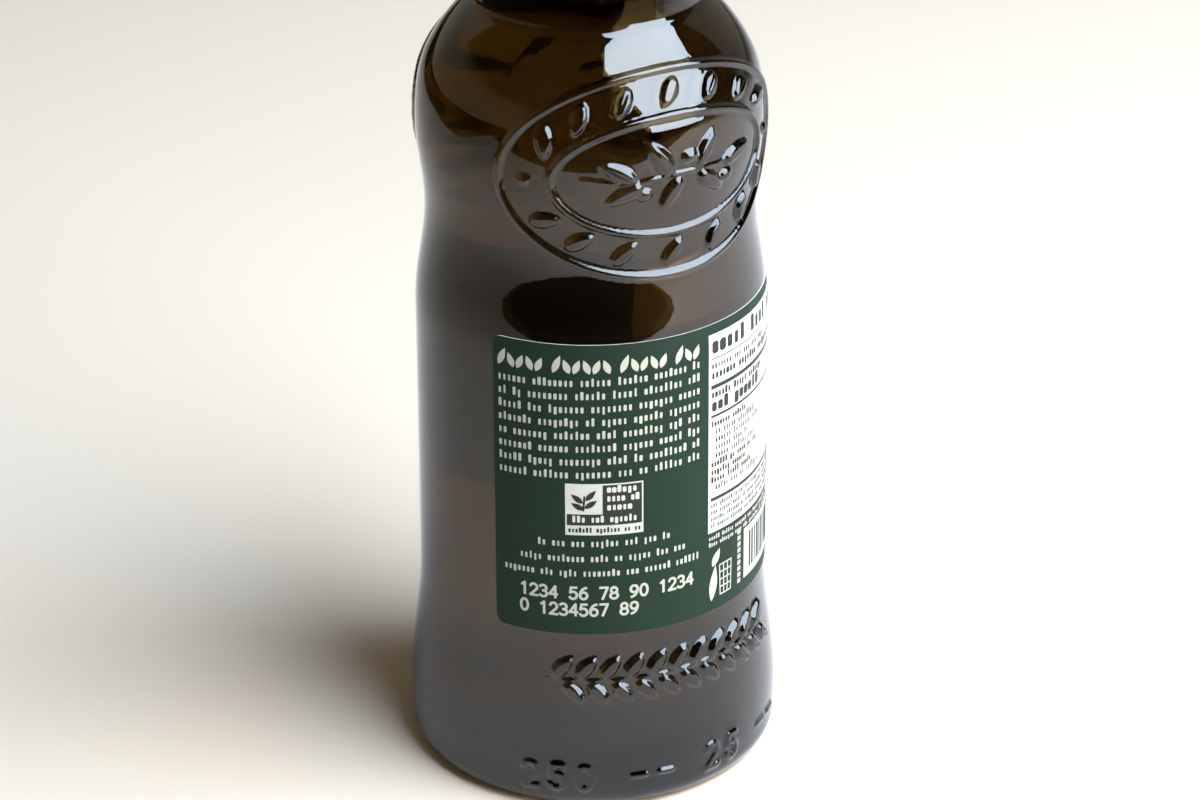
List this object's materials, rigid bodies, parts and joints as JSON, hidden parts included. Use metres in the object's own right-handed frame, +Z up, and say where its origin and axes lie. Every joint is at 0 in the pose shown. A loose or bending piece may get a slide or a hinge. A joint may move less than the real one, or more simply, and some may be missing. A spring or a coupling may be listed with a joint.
{
  "type": "olive oil bottle",
  "caption": "Small dark brown-green glass bottle of olive oil: waisted body, raised oval medallion, dark green wrap label, screw cap.",
  "frame": {"origin": "centre of the standing ring, on the surface that the bottle stands on", "axes": "+Z up along the bottle's axis, -Y towards the side that carries the text label, +X to its right"},
  "size_m": [0.0628, 0.0632, 0.1956],
  "materials": {
    "dark_glass": "dark brown-green bottle glass, glossy, lets a little brown light through",
    "oil": "clear golden-green olive oil",
    "label_paper": "dark green varnished paper with cream and white print",
    "cap_lacquer": "near-black lacquered aluminium, satin"
  },
  "bodies": {
    "root": {"glass_bottle": "dark_glass", "olive_oil": "oil", "info_label": "label_paper", "front_label": "label_paper", "screw_cap": "cap_lacquer"}
  },
  "joints": []
}
